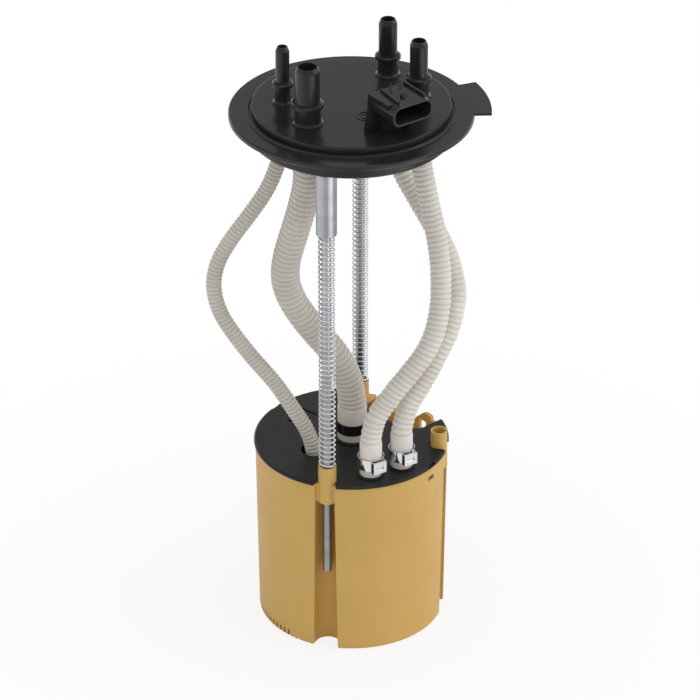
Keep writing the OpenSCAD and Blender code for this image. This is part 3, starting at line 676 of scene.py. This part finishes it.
@dataclass
class CorrugatedHose:
    """A corrugated hose with a smooth cuff at each end."""

    node: str
    route: list[Point]
    diameter: float
    pitch: float
    groove: float
    cuff_out: float = 0.4 * MM
    cuff_low: float = 24.2 * MM
    cuff_high: float = 20 * MM
    lip: float = 0.6 * MM
    shoulder: float = 0.2 * MM
    run_out: float = 0.8 * MM
    finish: Finish = NYLON
    sides: int = 40
    fine: float = 1 * MM
    path_every: int = 4
    wave: tuple[tuple[float, float], ...] = (
        (0, 1.0), (0.09, 0.7), (0.19, 0.34), (0.33, 0.08), (0.5, 0), (0.67, 0.08),
        (0.81, 0.34), (0.91, 0.7))

    def centreline(self) -> list[Vector]:
        """A smooth curve through the route.

        Returns:
            Its points, about a millimetre apart, from the upper end.
        """
        marks = [Vector(p) * MM for p in self.route]
        marks = [marks[0] * 2 - marks[1]] + marks + [marks[-1] * 2 - marks[-2]]
        line = []
        for a, b, c, d in zip(marks, marks[1:], marks[2:], marks[3:]):
            count = max(2, round((c - b).length / self.fine))
            for k in range(count):
                t = k / count
                line.append(0.5 * (2 * b + (c - a) * t + (2 * a - 5 * b + 4 * c - d) * t ** 2
                                   + (3 * b - a - 3 * c + d) * t ** 3))
        return line + [marks[-2]]

    def profile(self, length: float) -> list[tuple[float, float, float]]:
        """Stations along the hose.

        Args:
            length: The hose's length.

        Returns:
            For each ring its distance from the upper end, its radius and its depth in a
            groove from 0 to 1.
        """
        r = self.diameter / 2
        cuff = r + self.cuff_out
        lip, bend = self.lip, self.lip * 0.3
        first, last = self.cuff_high, length - self.cuff_low
        stations = [(0, cuff - lip, 0), (bend, cuff - bend, 0), (lip, cuff, 0),
                    (first - 2 * self.run_out, cuff, 0),
                    (first - self.run_out, cuff - self.shoulder, 0)]
        count = round((last - first) / self.pitch)
        step = (last - first) / count
        for k in range(count):
            stations += [(first + step * (k + u), r - self.groove * g, g) for u, g in self.wave]
        stations += [(last, r - self.groove, 1),
                     (last + self.run_out, cuff - self.shoulder, 0),
                     (last + 2 * self.run_out, cuff, 0),
                     (length - lip, cuff, 0), (length - bend, cuff - bend, 0),
                     (length, cuff - lip, 0)]
        return stations

    def build(self) -> bpy.types.Object:
        """Sweeps the corrugated profile along the centreline without twist.

        Returns:
            The hose.
        """
        line = self.centreline()
        reach = [0.0]
        for a, b in zip(line, line[1:]):
            reach.append(reach[-1] + (b - a).length)
        befores, afters = [line[0]] + line[:-1], line[1:] + [line[-1]]
        ways = [(after - before).normalized() for before, after in zip(befores, afters)]
        sides = [ways[0].orthogonal().normalized()]
        for before, after in zip(ways, ways[1:]):
            sides.append(before.rotation_difference(after) @ sides[-1])
        points: list[Vector] = []
        deep: list[float] = []
        spot = 0
        stations = self.profile(reach[-1])
        for s, radius, depth in stations:
            while spot < len(reach) - 2 and reach[spot + 1] < s:
                spot += 1
            t = (s - reach[spot]) / (reach[spot + 1] - reach[spot])
            centre = line[spot].lerp(line[spot + 1], t)
            way = ways[spot].lerp(ways[spot + 1], t).normalized()
            side = sides[spot].lerp(sides[spot + 1], t)
            side = (side - way * side.dot(way)).normalized()
            other = way.cross(side)
            for k in range(self.sides):
                a = math.tau * k / self.sides
                points.append(centre + (side * math.cos(a) + other * math.sin(a)) * radius)
                deep.append(depth)
        n = self.sides
        faces = [(i * n + k, i * n + (k + 1) % n, (i + 1) * n + (k + 1) % n, (i + 1) * n + k)
                 for i in range(len(stations) - 1) for k in range(n)]
        last_ring = (len(stations) - 1) * n
        faces += [tuple(range(n - 1, -1, -1)), tuple(last_ring + k for k in range(n))]
        mesh = bpy.data.meshes.new(self.node + "_tube")
        mesh.from_pydata(points, [], faces)
        mesh.attributes.new("groove", "FLOAT", "POINT").data.foreach_set("value", deep)
        hose = bpy.data.objects.new(self.node + "_tube", mesh)
        bpy.context.scene.collection.objects.link(hose)
        Bench.outward(hose)
        Bench.pick(hose)
        bpy.ops.object.shade_smooth()
        Bench.finish(hose, self.finish)
        self.join(hose, line, reach[-1])
        return hose

    def join(self, hose: bpy.types.Object, line: list[Vector], length: float) -> None:
        """Args:
            hose: The finished hose.
            line: Its centreline.
            length: Its length; not used.
        """
        bottom, top = line[-1], line[0]
        bottom.z + self.cuff_low
        top.z - self.cuff_high
        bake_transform(hose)
        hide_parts(self.node)
        path = [tuple(p) for p in line[::self.path_every]] + [tuple(line[-1])]


@dataclass
class EarClamp:
    """A band of polished steel with the closed ear that tightens it.

    The ear is a loop of sheet with a pressed dimple in its front, or on the band clamp a
    plain block.
    """

    node: str
    centre: tuple[float, float]
    inner: float
    facing: float
    low: float = 131 * MM
    height: float = 7.8 * MM
    thickness: float = 0.6 * MM
    ear: Point = (3.4 * MM, 9.3 * MM, 7.8 * MM)
    ear_sunk: float = 0.3 * MM
    ear_front: float = 1.5 * MM
    ear_side: float = 0.7 * MM
    dimple: Point | None = (2.4 * MM, 5.4 * MM, 2.8 * MM)
    dimple_up: float = 0.2 * MM
    band_round: float = 0.2 * MM
    ear_round: float = 0.16 * MM
    dimple_round: float = 0.12 * MM
    sides: int = 72
    finish: Finish = CLAMP_STEEL

    def build(self) -> bpy.types.Object:
        """Makes the band and its ear at the hose's cuff.

        Returns:
            The clamp.
        """
        mid = self.low + self.height / 2
        Bench.clear()
        bpy.ops.mesh.primitive_cylinder_add(vertices=self.sides, radius=self.inner,
                                            depth=self.height, end_fill_type="NOTHING",
                                            location=(0, 0, mid))
        band = Bench.named(self.node + "_band")
        Bench.settle(band)
        Bench.apply(band, "SOLIDIFY", thickness=self.thickness, offset=1)
        Bench.outward(band)
        Bench.round_edges(band, self.band_round)
        ear = self.make_ear(mid)
        Bench.pick(ear, band)
        bpy.ops.object.join()
        turn = Matrix.Rotation(math.radians(self.facing), 4, "Z")
        place = Matrix.Translation((self.centre[0] * MM, self.centre[1] * MM, 0))
        band.data.transform(place @ turn)
        Bench.finish(band, self.finish)
        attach(band, Body.RESERVOIR.value)
        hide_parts(self.node)
        return band

    def make_ear(self, mid: float) -> bpy.types.Object:
        """Makes the ear on the band's +X side: a bent loop, open above and below.

        Args:
            mid: The height of its middle.

        Returns:
            The ear.
        """
        deep, wide, tall = self.ear
        x = self.inner + self.thickness + deep / 2 - self.ear_sunk
        ear = Bench.box(self.node + "_ear", (x, 0, mid), self.ear)
        if self.dimple is not None:
            room = Bench.box("room", (x - self.ear_front, 0, mid),
                             (deep, wide - 2 * self.ear_side, tall * 1.2))
            Bench.cut(ear, room)
            bowl = Bench.box("dimple", (x + deep / 2, 0, mid + self.dimple_up), self.dimple)
            Bench.apply(bowl, "BEVEL", width=self.dimple_round, segments=2,
                        limit_method="ANGLE")
            Bench.cut(ear, bowl)
        Bench.round_edges(ear, self.ear_round)
        return ear


@dataclass
class Strainer:
    """The flat pouch of filter cloth that lies on the reservoir's floor."""

    node: str = "pickup_strainer"
    cuts: int = 12
    squareness: float = 3.2
    fullness: float = 0.6
    rim: float = 0.18
    corners_in: float = 0.1

    def build(self) -> bpy.types.Object:
        """Makes a pillow with a flat sewn rim.

        Returns:
            The pouch.
        """
        lo, hi = (Vector(corner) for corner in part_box(self.node))
        mid, half = (lo + hi) / 2, (hi - lo) / 2
        pouch = Bench.box("pickup_strainer_pouch", mid, hi - lo)
        Bench.pick(pouch)
        bpy.ops.object.mode_set(mode="EDIT")
        bpy.ops.mesh.select_all(action="SELECT")
        bpy.ops.mesh.subdivide(number_cuts=self.cuts)
        bpy.ops.object.mode_set(mode="OBJECT")
        for vertex in pouch.data.vertices:
            u = (vertex.co.x - mid.x) / half.x
            v = (vertex.co.y - mid.y) / half.y
            swell = (max(0, 1 - abs(u) ** self.squareness)
                     * max(0, 1 - abs(v) ** self.squareness))
            corner = 1 - self.corners_in * (abs(u) * abs(v)) ** 4
            thick = self.rim + (1 - self.rim) * swell ** self.fullness
            vertex.co.x = mid.x + u * half.x * corner
            vertex.co.y = mid.y + v * half.y * corner
            vertex.co.z = mid.z + (vertex.co.z - mid.z) * thick
        Bench.outward(pouch)
        Bench.apply(pouch, "SUBSURF", levels=1, render_levels=1)
        Bench.pick(pouch)
        bpy.ops.object.shade_smooth()
        Bench.finish(pouch, CLOTH)
        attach(pouch, Body.RESERVOIR.value)
        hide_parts(self.node)
        return pouch


@dataclass(frozen=True)
class Room:
    """A box that is cut off a skin; its X runs outwards, towards the bay's corner."""

    centre: Point
    size: Point


@dataclass
class Skins:
    """Every rigid moulded, turned or stamped piece that keeps its CAD shape."""

    plan: list[tuple[str, Body, Finish, float]] = field(default_factory=lambda: [
        ("reservoir", Body.RESERVOIR, AMBER, 0.3 * MM),
        ("reservoir_cover", Body.RESERVOIR, COVER_BLACK, 0.25 * MM),
        ("flange", Body.FLANGE, FLANGE_BLACK, 0.4 * MM),
        ("connector_terminals", Body.FLANGE, BRASS, 0.1 * MM),
        ("front_rod", Body.FLANGE, ROD_STEEL, 0.1 * MM),
        ("back_rod", Body.FLANGE, ROD_STEEL, 0.1 * MM),
        ("front_spacer_tube", Body.FLANGE, ROD_STEEL, 0.2 * MM),
        ("back_spacer_tube", Body.FLANGE, ROD_STEEL, 0.2 * MM),
        ("inlet_valve", Body.RESERVOIR, RUBBER, 0.1 * MM),
        ("jet_pump", Body.RESERVOIR, INNER_BLACK, 0.2 * MM),
        ("jet_tube", Body.RESERVOIR, INNER_BLACK, 0.15 * MM),
        ("pickup_tube", Body.RESERVOIR, INNER_BLACK, 0.15 * MM),
        ("strainer_collar", Body.RESERVOIR, INNER_BLACK, 0.15 * MM),
        ("return_drop_tube", Body.RESERVOIR, INNER_BLACK, 0.15 * MM),
        ("crossover_drop_tube", Body.RESERVOIR, INNER_BLACK, 0.15 * MM),
        ("sensor_housing", Body.RESERVOIR, INNER_BLACK, 0.2 * MM),
        ("sensor_card", Body.RESERVOIR, CERAMIC, 0.08 * MM),
        ("sensor_terminals", Body.RESERVOIR, BRASS, 0.08 * MM),
        ("wiper_hub", Body.FLOAT, HUB_WHITE, 0.2 * MM),
        ("wiper_contact", Body.FLOAT, BRASS, 0.05 * MM),
        ("float_arm", Body.FLOAT, ROD_STEEL, 0.1 * MM),
        ("float", Body.FLOAT, FOAM, 0.6 * MM),
    ])

    corners: dict[str, Room] = field(default_factory=lambda: {
        "reservoir_cover": Room((53 * MM, 0, 125 * MM), (34 * MM, 11 * MM, 30 * MM)),
        "reservoir": Room((62.6 * MM, 0.2 * MM, 125.4 * MM), (9 * MM, 11 * MM, 13 * MM)),
    })
    corner_facing: float = 38

    def build(self) -> None:
        """Makes every skin of the plan."""
        for node, body, finish, width in self.plan:
            trim = self.corner(node) if node in self.corners else None
            Bench.skin(node, body, finish, width, trim)

    def corner(self, node: str) -> bpy.types.Object:
        """Makes the room that a skin leaves free beside the open bay.

        Args:
            node: The node whose skin is cut.

        Returns:
            The cutter, at its place.
        """
        room = self.corners[node]
        turn = math.radians(self.corner_facing)
        centre = Matrix.Rotation(turn, 3, "Z") @ Vector(room.centre)
        return Bench.box(node + "_corner", centre, room.size, turn)


# Studio


@dataclass(frozen=True)
class SoftBox:
    """A soft-edged bright field of the room, which only mirrors show.

    Its direction and the half widths of its full part and of its whole are in degrees.
    """

    azimuth: float
    height: float
    inner: float
    outer: float
    level: float

    def strength(self, graph: Graph) -> Port:
        """How bright the room is made by the field in each direction.

        Args:
            graph: The world's node tree.

        Returns:
            The level inside the field, fading to 0 outside.
        """
        a, e = math.radians(self.azimuth), math.radians(self.height)
        aim = (math.cos(a) * math.cos(e), math.sin(a) * math.cos(e), math.sin(e))
        ray = graph.node("ShaderNodeTexCoord", output="Generated")
        near = graph.node("ShaderNodeVectorMath", {"operation": "DOT_PRODUCT"},
                          {0: ray, 1: aim}, output="Value")
        ends = (math.cos(math.radians(wide)) for wide in (self.outer, self.inner))
        return graph.ramp(near, *zip(ends, (0, 1))) * self.level


@dataclass
class Studio:
    """The camera at the photograph's viewing angle, plain light and a pale floor."""

    camera_at: Point = (-1.3605, -1.8726, 1.5194)
    looks_along: Point = (0.50956, 0.70132, -0.4985)
    lens: float = 216
    shift: float = -1.5 / 700
    floor_radius: float = 0.42
    floor_low: float = 0.2 * MM
    ambient: float = 0.76
    mirrored: float = 0.3
    key_at: Point = (1.81, -1.41, 1.42)
    key_aims_at: Point = (0, 0, 0.2)
    key_size: float = 2.2
    key_power: float = 21
    boxes: tuple[SoftBox, ...] = (
        SoftBox(-84, -28, 6, 24, 1.7),
        SoftBox(-62, -28, 4, 12, 1.9),
        SoftBox(157, -28, 12, 60, 0.8),
        SoftBox(84, 4, 8, 26, 1.2),
        SoftBox(24, 4, 8, 26, 1.2),
        SoftBox(-126, 72, 8, 24, 2.2),
        SoftBox(0, 90, 55, 88, -0.5),
    )

    def build(self) -> None:
        """Makes the whole studio."""
        self.camera()
        self.world()
        self.key_light()
        self.floor()
        bpy.context.scene.view_settings.view_transform = "Standard"

    def camera(self) -> None:
        """Places the camera."""
        data = bpy.data.cameras.new("camera")
        data.lens = self.lens
        data.sensor_width = 36
        data.shift_x = self.shift
        data.clip_start = 0.1
        data.clip_end = 60
        camera = bpy.data.objects.new("camera", data)
        camera.location = self.camera_at
        camera.rotation_mode = "QUATERNION"
        camera.rotation_quaternion = Vector(self.looks_along).to_track_quat("-Z", "Y")
        bpy.context.scene.collection.objects.link(camera)
        bpy.context.scene.camera = camera

    def world(self) -> None:
        """White behind the object; round it a pale room whose mirror image has soft boxes."""
        world = bpy.data.worlds.new("studio_air")
        world.use_nodes = True
        graph = Graph(world.node_tree)
        glow = 0.0
        for box in self.boxes:
            glow = glow + box.strength(graph)
        mirror = graph.node("ShaderNodeLightPath", output="Is Glossy Ray")
        light = self.ambient + mirror * glow
        room = graph.node("ShaderNodeCombineColor", {}, {0: light, 1: light, 2: light})
        shown = graph.blend(self.seen(graph), room, (1, 1, 1))
        air = graph.node("ShaderNodeBackground", {}, {"Color": shown, "Strength": 1.0})
        graph.node("ShaderNodeOutputWorld", {}, {"Surface": air})
        bpy.context.scene.world = world

    def seen(self, graph: Graph) -> Port:
        """How much of the plain white backdrop a ray sees.

        Args:
            graph: The node tree of the world or the floor.

        Returns:
            1 for rays of the camera and through glass, a part for mirrored rays, else 0.
        """
        rays = ("Is Camera Ray", "Is Transmission Ray", "Is Glossy Ray")
        camera, glass, mirror = (graph.node("ShaderNodeLightPath", output=ray) for ray in rays)
        return graph.node("ShaderNodeMath", {"operation": "MAXIMUM"},
                          {0: camera + glass, 1: mirror * self.mirrored})

    def key_light(self) -> None:
        """Places one large soft light on the right; the room gives the rest."""
        data = bpy.data.lights.new("key_right", "AREA")
        data.energy = self.key_power
        data.size = self.key_size
        lamp = bpy.data.objects.new("key_right", data)
        lamp.location = self.key_at
        lamp.rotation_mode = "QUATERNION"
        aim = Vector(self.key_aims_at) - Vector(self.key_at)
        lamp.rotation_quaternion = aim.to_track_quat("-Z", "Y")
        bpy.context.scene.collection.objects.link(lamp)

    def floor(self) -> None:
        """A pale round floor with the object's soft shadow, white towards its edge."""
        Bench.clear()
        bpy.ops.mesh.primitive_circle_add(vertices=96, radius=self.floor_radius,
                                          fill_type="NGON",
                                          location=(0, 0, -self.floor_low))
        floor = Bench.named("studio_floor")
        Bench.settle(floor)
        made = bpy.data.materials.new("pale_floor")
        made.use_nodes = True
        graph = Graph(made.node_tree)
        speck = graph.noise(400, 2)
        colour = graph.blend(speck, (0.86, 0.86, 0.86), (0.9, 0.9, 0.9))
        matt = graph.node("ShaderNodeBsdfDiffuse", {}, {"Color": colour})
        white = graph.node("ShaderNodeEmission", {}, {"Color": (1, 1, 1, 1), "Strength": 1.0})
        away = graph.node("ShaderNodeVectorMath", {"operation": "LENGTH"},
                          {0: graph.place()}, output="Value")
        fade = graph.ramp(away * (1 / self.floor_radius), (0.15, 0.84), (0.9, 1))
        mix = graph.node("ShaderNodeMixShader", {}, {0: self.seen(graph) * fade, 1: matt, 2: white})
        graph.node("ShaderNodeOutputMaterial", {}, {"Surface": mix})
        floor.data.materials.append(made)


# Routes of the hoses, from the flange down, in millimetres

JET_ROUTE = [(-34, 25, 359), (-34, 25, 350), (-34, 25, 335), (-38, 26.5, 320), (-44, 29.5, 304),
             (-53, 34.5, 288), (-63, 40, 272), (-71, 44, 256), (-74.5, 44.5, 240), (-73, 41, 223),
             (-67, 34, 207), (-58, 26, 190), (-48, 17, 173), (-39.5, 9.5, 155), (-33, 4, 140),
             (-30, 1.5, 128), (-29, 0.5, 113)]
FEED_ROUTE = [(-38, -7, 359), (-38, -7, 350), (-38, -7, 335), (-37.5, -5, 320), (-39, -1.5, 303),
              (-41.5, 3, 285), (-43.5, 8.5, 265), (-42.5, 11.5, 248), (-38, 11, 233),
              (-31, 8.5, 219), (-23, 5.5, 206), (-15, 2, 194), (-8, -0.5, 181), (-3, -1.5, 167),
              (-1, -1.5, 156), (-0.5, -1.5, 149.7), (-0.5, -1.5, 137.6), (-0.5, -1.5, 125.5)]
CROSSOVER_ROUTE = [(41.5, 18.5, 359), (41.5, 18.5, 350), (41.5, 18, 335), (42.5, 14, 320),
                   (44, 7, 302), (48, -4, 285), (52, -16, 269), (54.5, -27, 254),
                   (54.5, -33.5, 243), (52.5, -40, 232), (48, -44, 221), (41, -47, 209),
                   (33, -48, 198), (25.5, -48, 187), (17.5, -47.5, 176), (11, -47, 167),
                   (6, -47.7, 156), (4.5, -48, 149.7), (4.5, -48, 137.6), (4.5, -48, 125.5)]
RETURN_ROUTE = [(38.5, -17.5, 359), (38.5, -17.5, 350), (38.5, -18, 335), (39, -21.5, 315),
                (39.5, -29, 292), (39.5, -36, 274), (38, -42, 258), (35.5, -46.5, 244),
                (31.5, -50.5, 230), (25.5, -53, 216), (18, -53, 204), (9, -51, 193),
                (0, -48, 182), (-8, -45.5, 171), (-13.5, -45, 164), (-16.7, -45, 155),
                (-17.5, -45, 149.7), (-17.5, -45, 137.6), (-17.5, -45, 125.5)]


def main() -> None:
    """Builds the studio and every piece of the sending unit in order."""
    logging.basicConfig(level=logging.INFO, format="%(name)s %(message)s")
    Studio().build()
    hoses = [
        CorrugatedHose("jet_hose", JET_ROUTE, 10 * MM, 2.7 * MM, 0.6 * MM, cuff_out=0,
                       cuff_low=2.6 * MM),
        CorrugatedHose("feed_hose", FEED_ROUTE, 18.2 * MM, 3.7 * MM, 0.9 * MM, sides=48),
        # The crossover and return hoses take the nylon painted lighter, for the key light falling
        # on their side.
        CorrugatedHose("crossover_hose", CROSSOVER_ROUTE, 13.4 * MM, 3.35 * MM, 0.7 * MM,
                       finish=NYLON_PAINTED_LIGHTER),
        CorrugatedHose("return_hose", RETURN_ROUTE, 13.4 * MM, 3.35 * MM, 0.7 * MM,
                       finish=NYLON_PAINTED_LIGHTER),
    ]
    for hose in hoses:
        hose.build()
    Skins().build()
    GuideSpring("front_spring", -142).build()
    GuideSpring("back_spring", 48).build()
    EarClamp("return_hose_clamp", (-17.5, -45), 7.9 * MM, -95.5).build()
    EarClamp("crossover_hose_clamp", (4.5, -48), 7.9 * MM, -95.5).build()
    EarClamp("feed_hose_clamp", (-0.5, -1.5), 9.6 * MM, 60, height=7.2 * MM,
             ear=(2.4 * MM, 6 * MM, 6.4 * MM), dimple=None, finish=BAND_BLACK).build()
    Strainer().build()


if __name__ == "__main__":
    main()
